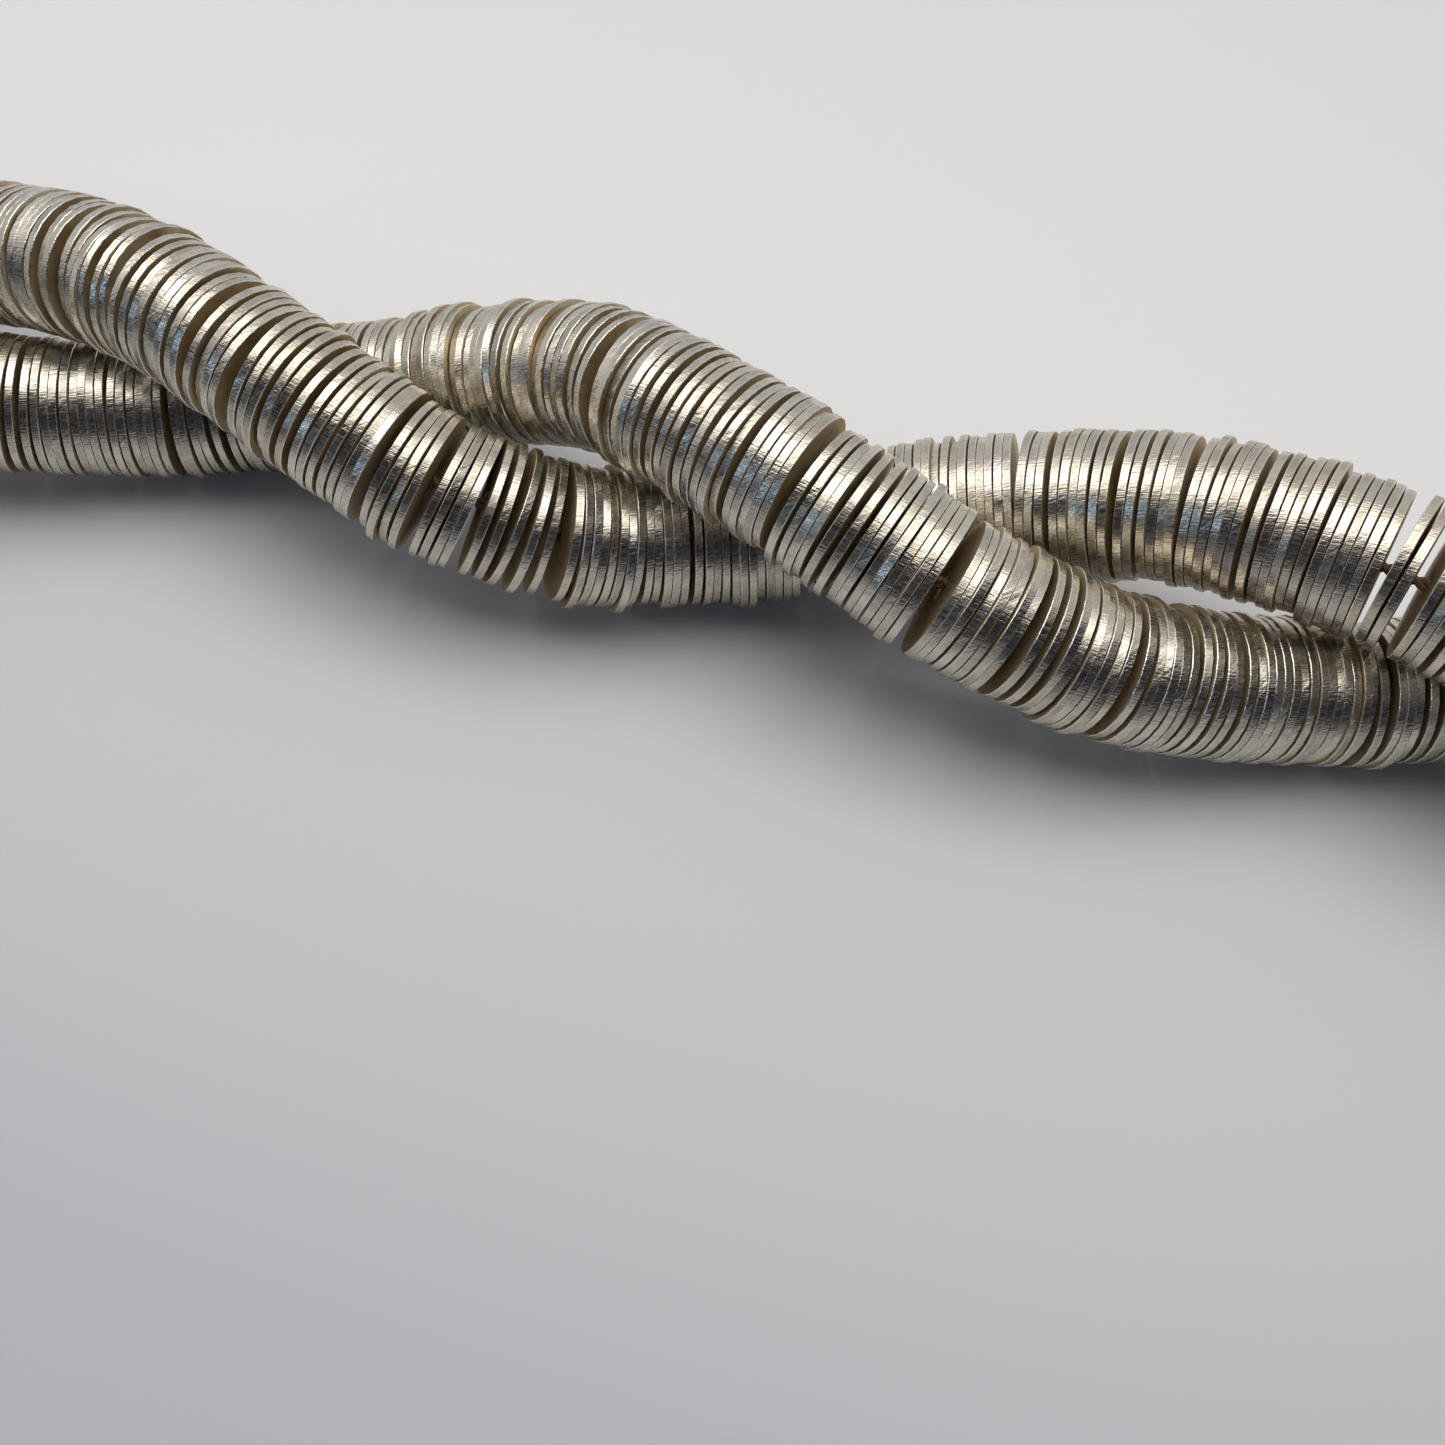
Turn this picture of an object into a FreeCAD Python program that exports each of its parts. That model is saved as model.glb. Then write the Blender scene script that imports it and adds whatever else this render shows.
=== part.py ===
import FreeCAD, Part

import bisect
import math
import os
import random

# Two strands of thin flat metal discs, each strung on its own thread, twisted round each other like a
# two-ply rope and knotted together at both ends. The rope lies along X on the plane z = 0.
# Right-handed twist. Strand a lies over strand b at the crossing left of the middle.

Vector = FreeCAD.Vector

# ---- Driving dimensions, in millimetres and degrees ----
rope_length = 184.0           # from the first disc to the last, along X
link_count = 15               # lengths that the flexible rope is divided into, so that it can bend

disc_diameter = 9.9           # the widest disc is disc_diameter + disc_diameter_spread
disc_diameter_spread = 0.24
disc_thickness = 0.55
disc_thickness_spread = 0.03
disc_bore = 2.0

thread_diameter = 0.9
strand_clearance = 0.25       # between the two strands where they lie against each other
side_openings = {1: 0.35, 3: 0.8}   # further apart than that, at stations where they lie side by side
least_opening = 0.1

quarter_turn = 22.8           # length of an average quarter turn of the twist
uneven_quarters = {-2: 1.03, -1: 1.07, 0: 0.96, 1: 0.78, 2: 1.02, 3: 1.04}
crossing_x = -30.8            # station 0, where strand a lies on top of strand b
side_drift = {-3: -2.0, -2: -3.0, -1: -3.0, 0: -0.3, 2: 0.6, 3: 1.2, 4: 2.5, 5: 2.5, 6: 1.5}

link_gap = 0.42               # between the last disc of one link and the first of the next
thread_gap = 0.4              # between the threads of one link and the next
hairline = 0.015              # least gap between two discs of one link
largest_gap = 0.4             # most that is added between two groups of discs
largest_tilt = 3.2            # degrees that a group of discs leans off square
group_sizes = (1, 1, 2, 2, 3, 3, 4, 5, 6, 8)
least_fan = 0.3               # how far the discs of a group follow the bend: 0 is pressed flat,
most_fan = 1.0                # and 1 is evenly fanned
disc_play = 0.3               # most that a disc sits off its group's line
disc_lean = 0.7               # degrees that it leans off its group
bore_clearance = 0.04         # room left between the thread and the bore of a disc that hangs aside

knot_clearance = 0.3          # from the last disc to its stop knot
stop_knot_diameter = 3.2
stop_knot_length = 3.4
stop_knot_rounding = 1.1
tie_knot_diameter = 4.6
tie_knot_length = 4.8
tie_knot_rounding = 1.25
tie_knot_spacing = 0.5        # between the two threads where they enter and leave the tie knot
tie_knot_reach = 17.0         # from the last disc to the middle of the tie knot, along X
tie_knot_rest = 0.05          # between the tie knot and the surface that the rope lies on
tail_length = 9.0             # cut thread ends past the tie knot, along X
tail_spread = 3.0

# ---- Values that follow from them ----
widest_radius = (disc_diameter + disc_diameter_spread) / 2
strand_offset = widest_radius + strand_clearance / 2
thread_radius = thread_diameter / 2
link_length = rope_length / link_count
group_play = (disc_bore - thread_diameter) / 2 - bore_clearance - disc_play
samples_per_quarter = 200


def hermite(before, start, end, after, share):
    """A value between two stations, smooth through all of them."""
    slope_start = (end - before) / 2
    slope_end = (after - start) / 2
    square = share * share
    cube = square * share
    return (
        (2 * cube - 3 * square + 1) * start
        + (cube - 2 * square + share) * slope_start
        + (3 * square - 2 * cube) * end
        + (cube - square) * slope_end
    )


def through_stations(station_value, turn):
    first = math.floor(turn)
    values = [station_value(first + step) for step in (-1, 0, 1, 2)]
    return hermite(*values, turn - first)


def station_x(station):
    """Where along the rope a quarter turn of the twist begins."""
    x = crossing_x
    for passed in range(0, station):
        x += quarter_turn * uneven_quarters.get(passed, 1.0)
    for passed in range(station, 0):
        x -= quarter_turn * uneven_quarters.get(passed, 1.0)
    return x


def station_drift(station):
    return side_drift.get(station, 0.0)


def rope_axis(turn):
    """The point midway between the strands."""
    return Vector(through_stations(station_x, turn), through_stations(station_drift, turn), 0)


def strand_point(side, turn):
    """A point on a strand's centre line: side is 1 for strand a and -1 for strand b."""
    angle = math.pi / 2 * (1 + turn)
    nearest_side = 2 * round((turn - 1) / 2) + 1
    opening = side_openings.get(nearest_side, least_opening)
    sideways = strand_offset + opening / 2 * math.cos(angle) ** 2
    across = Vector(0, sideways * math.cos(angle), strand_offset * math.sin(angle))
    return rope_axis(turn) + across * side


class Strand:
    """A strand's centre line, by distance along it."""

    def __init__(self, side):
        self.side = side
        margin = rope_length / 2 + 2 * quarter_turn
        first = min(k for k in range(-60, 0) if station_x(k) > -margin)
        last = max(k for k in range(0, 60) if station_x(k) < margin)
        samples = range(first * samples_per_quarter, last * samples_per_quarter)
        turns = [sample / samples_per_quarter for sample in samples]
        self.points = [strand_point(side, turn) for turn in turns]
        self.middles = [rope_axis(turn) for turn in turns]
        self.distances = [0.0]
        for start, end in zip(self.points, self.points[1:]):
            self.distances.append(self.distances[-1] + start.distanceToPoint(end))

    def between(self, values, distance):
        index = min(max(bisect.bisect(self.distances, distance), 1), len(values) - 1)
        span = self.distances[index] - self.distances[index - 1]
        share = (distance - self.distances[index - 1]) / span
        return values[index - 1] + (values[index] - values[index - 1]) * share

    def point(self, distance):
        return self.between(self.points, distance)

    def middle(self, distance):
        return self.between(self.middles, distance)

    def direction(self, distance):
        step = 0.2
        return (self.point(distance + step) - self.point(distance - step)).normalize()

    def distance_at(self, x):
        """The distance at which the strand passes a place along the rope."""
        index = bisect.bisect([point.x for point in self.points], x)
        start, end = self.points[index - 1], self.points[index]
        share = (x - start.x) / (end.x - start.x)
        return self.distances[index - 1] + share * (self.distances[index] - self.distances[index - 1])


class Disc:
    def __init__(self, centre, normal, diameter, thickness):
        self.centre = centre
        self.normal = normal
        self.radius = diameter / 2
        self.thickness = thickness

    def reach(self, axis):
        """How far the disc reaches from its centre along a unit vector."""
        lean = min(abs(self.normal.dot(axis)), 1.0)
        return self.radius * math.sqrt(1 - lean * lean) + self.thickness / 2 * lean


def gap_between(disc, following):
    """A gap that surely parts two discs: the better of their two facing planes."""
    line = following.centre - disc.centre
    from_disc = line.dot(disc.normal) - disc.thickness / 2 - following.reach(disc.normal)
    from_following = line.dot(following.normal) - following.thickness / 2 - disc.reach(following.normal)
    return max(from_disc, from_following)


def leaning(direction, tilt, towards):
    """A direction tipped by some degrees about a random axis square to it."""
    any_axis = Vector(0, 0, 1) if abs(direction.z) < 0.8 else Vector(0, 1, 0)
    side_axis = direction.cross(any_axis).normalize()
    axis = FreeCAD.Rotation(direction, towards).multVec(side_axis)
    return FreeCAD.Rotation(axis, tilt).multVec(direction).normalize()


def play_offset(strand, distance, normal, group, draw):
    """How far a disc sits off the thread: any way in its own plane but towards the other strand."""
    hang = leaning(normal, 90, group["hangs_towards"]) * group["hang"]
    offset = hang + leaning(normal, 90, draw.uniform(0, 360)) * draw.uniform(0, disc_play)
    away = (strand.point(distance) - strand.middle(distance)).normalize()
    inward = offset.dot(away)
    return offset - away * inward if inward < 0 else offset


def disc_size(draw):
    diameter = disc_diameter + draw.uniform(-1, 1) * disc_diameter_spread
    return diameter, disc_thickness + draw.uniform(-1, 1) * disc_thickness_spread


def disc_groups(draw, length):
    """Groups of discs pressed flat together, more than enough for the length, each with its own lean."""
    groups = []
    held = 0
    while held * disc_thickness < length * 1.5:
        sizes = [disc_size(draw) for _ in range(draw.choice(group_sizes))]
        groups.append({
            "sizes": sizes,
            "tilt": largest_tilt * draw.uniform(0, 1) ** 2,
            "towards": draw.uniform(0, 360),
            "gap": hairline + largest_gap * draw.uniform(0, 1) ** 4,
            "fan": draw.uniform(least_fan, most_fan),
            "hang": group_play * math.sqrt(draw.uniform(0, 1)),
            "hangs_towards": draw.uniform(0, 360),
            "seed": draw.random(),
        })
        held += len(sizes)
    return groups


def disc_after(strand, previous, distance, normal, size, gap, offset):
    """The next disc along the strand, as near to the one before as its lean and the gap allow."""
    diameter, thickness = size
    distance += disc_thickness
    for _ in range(8):
        disc = Disc(strand.point(distance) + offset, normal, diameter, thickness)
        distance += gap - gap_between(previous, disc)
    return disc, distance


def filled(strand, first, last, distance, groups, spare):
    """Discs after the first one, as far as the last one leaves room, with a spare gap by each group."""
    discs = [first]
    for group in groups:
        draw = random.Random(group["seed"])
        gap = group["gap"] + spare
        middle = strand.direction(distance + len(group["sizes"]) * disc_thickness / 2)
        for size in group["sizes"]:
            bent = middle + (strand.direction(distance) - middle) * group["fan"]
            normal = leaning(bent.normalize(), group["tilt"], group["towards"])
            normal = leaning(normal, draw.uniform(0, disc_lean), draw.uniform(0, 360))
            offset = play_offset(strand, distance, normal, group, draw)
            disc, distance = disc_after(strand, discs[-1], distance, normal, size, gap, offset)
            if gap_between(disc, last) < hairline:
                return discs
            discs.append(disc)
            gap = hairline
    return discs


def disc_stack(strand, low, high, draw):
    """The discs of one link of one strand, between two distances along it. Its end discs sit square."""
    start = low + disc_thickness / 2
    end = high - disc_thickness / 2
    first = Disc(strand.point(start), strand.direction(low), disc_diameter, disc_thickness)
    last = Disc(strand.point(end), strand.direction(high), disc_diameter, disc_thickness)
    groups = disc_groups(draw, high - low)
    discs = filled(strand, first, last, start, groups, 0.0)
    least, most = 0.0, link_gap
    for _ in range(12):
        spare = (least + most) / 2
        spread = filled(strand, first, last, start, groups, spare)
        if len(spread) < len(discs):
            most = spare
        else:
            least = spare
            discs = spread
    return discs + [last]


def disc_solid(disc):
    back = disc.centre - disc.normal * (disc.thickness / 2)
    blank = Part.makeCylinder(disc.radius, disc.thickness, back, disc.normal)
    bore = Part.makeCylinder(disc_bore / 2, disc.thickness, back, disc.normal)
    return blank.cut(bore)


def tube(points, radius, name):
    """A round thread along straight runs joined by arcs as large as the runs allow."""
    edges = []
    radii = []
    start = points[0]
    for before, corner, after in zip(points, points[1:], points[2:]):
        back = (before - corner).normalize()
        ahead = (after - corner).normalize()
        half_turn = (math.pi - back.getAngle(ahead)) / 2
        setback = 0.45 * min(corner.distanceToPoint(before), corner.distanceToPoint(after))
        arc_radius = setback / math.tan(half_turn)
        inwards = (back + ahead).normalize()
        middle = corner + inwards * (arc_radius / math.cos(half_turn) - arc_radius)
        arc_start = corner + back * setback
        arc_end = corner + ahead * setback
        edges.append(Part.LineSegment(start, arc_start).toShape())
        edges.append(Part.Arc(arc_start, middle, arc_end).toShape())
        radii.append(arc_radius)
        start = arc_end
    edges.append(Part.LineSegment(start, points[-1]).toShape())
    path = Part.Wire(edges)
    section = Part.Wire(Part.makeCircle(radius, points[0], (points[1] - points[0]).normalize()))
    solid = path.makePipeShell([section], True, True)
    share = solid.Volume / (math.pi * radius ** 2 * path.Length)
    print(f"{name}: length {path.Length:.2f}, least bend radius {min(radii):.2f}, volume share {share:.4f}")
    return solid


def knot(centre, direction, diameter, length, rounding):
    """A pulled-tight knot: a rounded barrel, with flat faces where the thread enters and leaves."""
    bottom = centre - direction * (length / 2)
    barrel = Part.makeCylinder(diameter / 2, length, bottom, direction)
    rims = [edge for edge in barrel.Edges if isinstance(edge.Curve, Part.Circle)]
    return barrel.makeFillet(rounding, rims)


class RopeEnd:
    """What holds the discs on at one end: a stop knot on each thread, one knot that ties both, cut ends."""

    def __init__(self, outward, strands, floor):
        self.outward = Vector(outward, 0, 0)
        last_disc = outward * rope_length / 2
        self.stop_knots = []
        middle = Vector(0, 0, 0)
        for strand in strands:
            distance = strand.distance_at(last_disc)
            direction = strand.direction(distance) * outward
            near = strand.point(distance) + direction * knot_clearance
            self.stop_knots.append((near, direction))
            middle += strand.middle(distance) / len(strands)
        height = floor + tie_knot_rest + tie_knot_diameter / 2
        self.tie_centre = Vector(last_disc + outward * tie_knot_reach, middle.y, height)
        self.floor = floor

    def thread_places(self, side):
        """Where strand a's and b's threads enter or leave the tie knot: side is -1 or 1 along outward."""
        face = self.tie_centre + self.outward * (side * tie_knot_length / 2)
        apart = Vector(0, 0, thread_radius + tie_knot_spacing / 2)
        return [face - apart, face + apart]

    def stop_knot_solids(self):
        solids = []
        for near, direction in self.stop_knots:
            centre = near + direction * (stop_knot_length / 2)
            rounding = min(stop_knot_rounding, stop_knot_diameter / 2 - thread_radius)
            solids.append(knot(centre, direction, stop_knot_diameter, stop_knot_length, rounding))
        return solids

    def lead_solids(self, name):
        """The two threads from the stop knots to the tie knot."""
        solids = []
        places = self.thread_places(-1)
        lower_first = self.stop_knots[0][0].z < self.stop_knots[1][0].z
        for (near, direction), place in zip(self.stop_knots, places if lower_first else places[::-1]):
            start = near + direction * stop_knot_length
            run = start.distanceToPoint(place) / 3
            points = [start, start + direction * run, place - self.outward * run, place]
            solids.append(tube(points, thread_radius, name))
        return solids

    def tie_knot_solid(self):
        rounding = min(tie_knot_rounding, tie_knot_diameter / 2 - thread_diameter - tie_knot_spacing / 2)
        return knot(self.tie_centre, self.outward, tie_knot_diameter, tie_knot_length, rounding)

    def tail_solids(self, name):
        """The two cut ends, which fall to the surface and part."""
        solids = []
        for place, side in zip(self.thread_places(1), (-1, 1)):
            down = Vector(0, 0, self.floor + thread_radius - place.z)
            aside = Vector(0, side * tail_spread, 0)
            points = [
                place,
                place + self.outward * (tail_length * 0.3),
                place + self.outward * (tail_length * 0.65) + aside * 0.45 + down * 0.65,
                place + self.outward * tail_length + aside + down,
            ]
            solids.append(tube(points, thread_radius, name))
        return solids


def thread_solid(strand, low, high, name):
    steps = 4
    points = [strand.point(low + (high - low) * step / steps) for step in range(steps + 1)]
    return tube(points, thread_radius, name)


strands = {"a": Strand(1), "b": Strand(-1)}
boundaries = [-rope_length / 2 + link_length * index for index in range(link_count + 1)]
discs = {}
threads = {}
links = [f"{index + 1:02d}" for index in range(link_count)]
for strand_name, strand in strands.items():
    distances = [strand.distance_at(x) for x in boundaries]
    for index, link in enumerate(links):
        draw = random.Random(f"{strand_name}{link}")
        low_gap = link_gap / 2 if index > 0 else 0
        high_gap = link_gap / 2 if index < link_count - 1 else 0
        low, high = distances[index] + low_gap, distances[index + 1] - high_gap
        discs[strand_name, link] = disc_stack(strand, low, high, draw)
        low_end = distances[index] + (thread_gap / 2 if index > 0 else -knot_clearance)
        high_end = distances[index + 1] + (-thread_gap / 2 if index < link_count - 1 else knot_clearance)
        threads[strand_name, link] = (strand, low_end, high_end)

all_discs = [disc for stack in discs.values() for disc in stack]
lowest = min(disc.centre.z - disc.reach(Vector(0, 0, 1)) for disc in all_discs)
front = min(disc.centre.y - disc.reach(Vector(0, 1, 0)) for disc in all_discs)
back = max(disc.centre.y + disc.reach(Vector(0, 1, 0)) for disc in all_discs)
to_origin = Vector(0, -(front + back) / 2, -lowest)

nodes = {}
for link in links:
    nodes[f"thread_{link}"] = [
        thread_solid(*threads[strand_name, link], f"thread_{link}") for strand_name in strands
    ]
    for strand_name in strands:
        nodes[f"discs_{strand_name}_{link}"] = [disc_solid(disc) for disc in discs[strand_name, link]]
for end_name, outward in (("left", -1), ("right", 1)):
    end = RopeEnd(outward, list(strands.values()), lowest)
    for strand_name, solid in zip(strands, end.stop_knot_solids()):
        nodes[f"stop_knot_{strand_name}_{end_name}"] = [solid]
    nodes[f"lead_threads_{end_name}"] = end.lead_solids(f"lead_threads_{end_name}")
    nodes[f"tie_knot_{end_name}"] = [end.tie_knot_solid()]
    nodes[f"cut_ends_{end_name}"] = end.tail_solids(f"cut_ends_{end_name}")

os.makedirs("parts", exist_ok=True)
for name, solids in nodes.items():
    shape = Part.makeCompound(solids)
    shape.translate(to_origin)
    shape.exportStep(f"parts/{name}.step")

print(f"{len(nodes)} nodes, {len(all_discs)} discs")
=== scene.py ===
import math
import random

import bmesh
import bpy
import numpy as np
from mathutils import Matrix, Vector


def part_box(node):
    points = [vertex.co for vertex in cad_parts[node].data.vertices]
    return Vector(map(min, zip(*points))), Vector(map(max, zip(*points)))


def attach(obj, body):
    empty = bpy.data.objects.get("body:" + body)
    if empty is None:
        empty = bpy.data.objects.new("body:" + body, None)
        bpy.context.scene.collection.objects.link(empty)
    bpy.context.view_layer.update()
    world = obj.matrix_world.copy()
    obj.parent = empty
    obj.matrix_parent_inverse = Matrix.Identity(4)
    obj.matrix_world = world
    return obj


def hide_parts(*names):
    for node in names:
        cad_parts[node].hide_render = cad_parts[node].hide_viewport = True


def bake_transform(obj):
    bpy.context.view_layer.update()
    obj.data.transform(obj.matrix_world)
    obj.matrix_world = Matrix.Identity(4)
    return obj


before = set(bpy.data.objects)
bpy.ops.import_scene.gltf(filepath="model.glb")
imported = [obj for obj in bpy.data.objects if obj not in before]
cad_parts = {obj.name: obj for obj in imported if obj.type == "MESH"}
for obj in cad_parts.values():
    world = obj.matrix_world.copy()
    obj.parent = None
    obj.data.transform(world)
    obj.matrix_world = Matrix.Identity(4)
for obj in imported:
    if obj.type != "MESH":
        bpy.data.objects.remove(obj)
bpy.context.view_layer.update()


# ---- Viewpoint ----
# The rope is seen from about nine centimetres above its middle, a little to the right of it,
# looking steeply down.

view_azimuth = math.radians(18.1)
view_elevation = math.radians(62.7)
view_distance = 0.0927
view_target = Vector((0.0133, -0.0134, 0.005))

towards_camera = Vector((
    math.sin(view_azimuth) * math.cos(view_elevation),
    -math.cos(view_azimuth) * math.cos(view_elevation),
    math.sin(view_elevation),
))
camera = bpy.data.objects.new("camera", bpy.data.cameras.new("camera"))
camera.data.sensor_width = 36
camera.data.lens = 34.6
camera.data.clip_start = 0.005
camera.location = view_target + towards_camera * view_distance
camera.rotation_euler = towards_camera.to_track_quat("Z", "Y").to_euler()
bpy.context.scene.collection.objects.link(camera)
bpy.context.scene.camera = camera


# ---- Metal discs ----
# Some five hundred flat discs punched from thin sheet, plated silver and brushed, each with a hole
# in the middle. They lie loosely against each other on the thread, so each keeps the place and lean
# that it has on the imported model, and gets its worn rim, its softened edges and its own wobble here.
# The rims get a painted highlight on their edges; painted shade darkens some discs and the faces,
# which also carry a warm painted reflection.

rim_segments = 28
edge_radial = 0.009          # softened edge, as a share of the disc's radius
edge_axial = 0.075           # and of its thickness
bore_share = 0.2             # of the radius
rim_wobble = 0.00006
rim_slant = 0.0013           # relief that leans the rims of the most lopsided discs about ten degrees


def disc_blank_mesh():
    """One disc of radius 1 and thickness 1 about Z, with a UV map that runs round it and across it."""
    outline = [
        (bore_share, -0.5, 0.0),
        (1 - edge_radial, -0.5, 0.40),
        (1, -0.5 + edge_axial, 0.42),
        (1, 0.5 - edge_axial, 0.58),
        (1 - edge_radial, 0.5, 0.60),
        (bore_share, 0.5, 1.0),
    ]
    mesh = bpy.data.meshes.new("disc_blank")
    around = [math.tau * step / rim_segments for step in range(rim_segments)]
    points = [
        (radius * math.cos(angle), radius * math.sin(angle), height)
        for angle in around for radius, height, _along in outline
    ]
    count = len(outline)
    faces = []
    map_points = []
    rims = []
    for step in range(rim_segments):
        following = (step + 1) % rim_segments
        for place in range(count):
            beside = (place + 1) % count
            faces.append((
                step * count + place, following * count + place,
                following * count + beside, step * count + beside,
            ))
            start, end = outline[place][2], outline[beside][2]
            low, high = step / rim_segments, (step + 1) / rim_segments
            map_points += [(low, start), (high, start), (high, end), (low, end)]
            rims.append(1 <= place <= 3)
    mesh.from_pydata(points, [], faces)
    layer = mesh.uv_layers.new(name="rim_map")
    layer.data.foreach_set("uv", np.array(map_points, np.float32).ravel())
    mesh.attributes.new("on_rim", "BOOLEAN", "FACE").data.foreach_set("value", rims)
    mesh.polygons.foreach_set("use_smooth", rims)
    corners = [edge.vertices[0] % count == edge.vertices[1] % count for edge in mesh.edges]
    mesh.attributes.new("sharp_edge", "BOOLEAN", "EDGE").data.foreach_set("value", corners)
    return mesh


def separate_solids(node):
    """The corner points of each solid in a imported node."""
    work = bmesh.new()
    work.from_mesh(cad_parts[node].data)
    bmesh.ops.remove_doubles(work, verts=work.verts, dist=1e-6)
    waiting = set(work.verts)
    solids = []
    while waiting:
        front = [waiting.pop()]
        found = list(front)
        while front:
            vertex = front.pop()
            for edge in vertex.link_edges:
                other = edge.other_vert(vertex)
                if other in waiting:
                    waiting.remove(other)
                    front.append(other)
                    found.append(other)
        solids.append(np.array([vertex.co for vertex in found]))
    work.free()
    return solids


def disc_place(points):
    """A disc's centre, the way it faces, its radius and its thickness, from its corner points."""
    centre = points.mean(0)
    _u, _sizes, axes = np.linalg.svd(points - centre, full_matrices=False)
    facing = axes[2] * (1 if axes[2][0] > 0 else -1)
    along = (points - centre) @ facing
    outward = points - centre - np.outer(along, facing)
    return centre, facing, np.linalg.norm(outward, axis=1).max(), np.ptp(along)


def disc_points_mesh(name, places):
    mesh = bpy.data.meshes.new(name)
    mesh.from_pydata([place[0] for place in places], [], [])
    centre = mesh.attributes.new("disc_centre", "FLOAT_VECTOR", "POINT")
    centre.data.foreach_set("vector", np.array([place[0] for place in places], np.float32).ravel())
    facing = mesh.attributes.new("facing", "FLOAT_VECTOR", "POINT")
    facing.data.foreach_set("vector", np.array([place[1] for place in places], np.float32).ravel())
    size = mesh.attributes.new("size", "FLOAT_VECTOR", "POINT")
    sizes = [(place[2], place[2], place[3]) for place in places]
    size.data.foreach_set("vector", np.array(sizes, np.float32).ravel())
    return mesh


def node_maker(tree):
    """A function that adds a node to a tree with its settings and with values or links on its inputs."""
    def add(kind, settings=None, **inputs):
        node = tree.nodes.new(kind)
        for key, value in (settings or {}).items():
            setattr(node, key, value)
        for key, value in inputs.items():
            socket = node.inputs[int(key[1:])] if key[1:].isdigit() else node.inputs[key.replace("_", " ")]
            if isinstance(value, bpy.types.NodeSocket):
                tree.links.new(value, socket)
            else:
                socket.default_value = value
        return node
    return add


def disc_tree():
    """Sets a blank on each point, turned and scaled to its disc, and makes each rim a little uneven."""
    tree = bpy.data.node_groups.new("disc_stack", "GeometryNodeTree")
    sockets = tree.interface
    sockets.new_socket("Geometry", in_out="INPUT", socket_type="NodeSocketGeometry")
    sockets.new_socket("Blank", in_out="INPUT", socket_type="NodeSocketObject")
    sockets.new_socket("Wobble", in_out="INPUT", socket_type="NodeSocketFloat")
    sockets.new_socket("Seed", in_out="INPUT", socket_type="NodeSocketInt")
    sockets.new_socket("Rim Metal", in_out="INPUT", socket_type="NodeSocketMaterial")
    sockets.new_socket("Face Metal", in_out="INPUT", socket_type="NodeSocketMaterial")
    sockets.new_socket("Geometry", in_out="OUTPUT", socket_type="NodeSocketGeometry")
    add = node_maker(tree)
    given = add("NodeGroupInput").outputs
    facing = add("GeometryNodeInputNamedAttribute", {"data_type": "FLOAT_VECTOR"}, Name="facing").outputs[0]
    size = add("GeometryNodeInputNamedAttribute", {"data_type": "FLOAT_VECTOR"}, Name="size").outputs[0]
    centre = add("GeometryNodeInputNamedAttribute", {"data_type": "FLOAT_VECTOR"},
                 Name="disc_centre").outputs[0]
    blank = add("GeometryNodeObjectInfo", Object=given["Blank"]).outputs["Geometry"]
    turn = add("FunctionNodeRandomValue", {"data_type": "FLOAT"}, _2=0.0, _3=math.tau, Seed=given["Seed"])
    squared = add("FunctionNodeAlignRotationToVector", {"axis": "Z"}, Vector=facing).outputs[0]
    spin = add("FunctionNodeAxisAngleToRotation", None, Axis=(0, 0, 1), Angle=turn.outputs[1]).outputs[0]
    turned = add("FunctionNodeRotateRotation", {"rotation_space": "LOCAL"}, _0=squared, _1=spin).outputs[0]
    placed = add("GeometryNodeInstanceOnPoints", None, Points=given["Geometry"], Instance=blank,
                 Rotation=turned, Scale=size).outputs[0]
    own = add("FunctionNodeRandomValue", {"data_type": "FLOAT"}, _2=0.0, _3=1.0,
              Seed=given["Seed"]).outputs[1]
    marked = add("GeometryNodeStoreNamedAttribute", {"data_type": "FLOAT", "domain": "INSTANCE"},
                 Geometry=placed, Name="disc_seed", Value=own).outputs[0]
    real = add("GeometryNodeRealizeInstances", None, Geometry=marked).outputs[0]
    position = add("GeometryNodeInputPosition").outputs[0]
    outward = add("ShaderNodeVectorMath", {"operation": "SUBTRACT"}, _0=position, _1=centre).outputs[0]
    outward = add("ShaderNodeVectorMath", {"operation": "NORMALIZE"}, _0=outward).outputs[0]
    seed = add("GeometryNodeInputNamedAttribute", {"data_type": "FLOAT"}, Name="disc_seed").outputs[0]
    place = add("ShaderNodeMath", {"operation": "MULTIPLY"}, _0=seed, _1=300.0).outputs[0]
    noise = add("ShaderNodeTexNoise", {"noise_dimensions": "4D"}, Vector=outward, W=place, Scale=1.6,
                Detail=3.0, Roughness=0.75).outputs[0]
    swing = add("ShaderNodeMath", {"operation": "SUBTRACT"}, _0=noise, _1=0.5).outputs[0]
    reach = add("ShaderNodeMath", {"operation": "MULTIPLY"}, _0=swing, _1=given["Wobble"]).outputs[0]
    offset = add("ShaderNodeVectorMath", {"operation": "SCALE"}, _0=outward, Scale=reach).outputs[0]
    uneven = add("GeometryNodeSetPosition", None, Geometry=real, Offset=offset).outputs[0]
    on_rim = add("GeometryNodeInputNamedAttribute", {"data_type": "BOOLEAN"}, Name="on_rim").outputs[0]
    faced = add("GeometryNodeSetMaterial", None, Geometry=uneven, Material=given["Face Metal"]).outputs[0]
    finished = add("GeometryNodeSetMaterial", None, Geometry=faced, Selection=on_rim,
                   Material=given["Rim Metal"]).outputs[0]
    add("NodeGroupOutput", None, Geometry=finished)
    return tree


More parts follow.
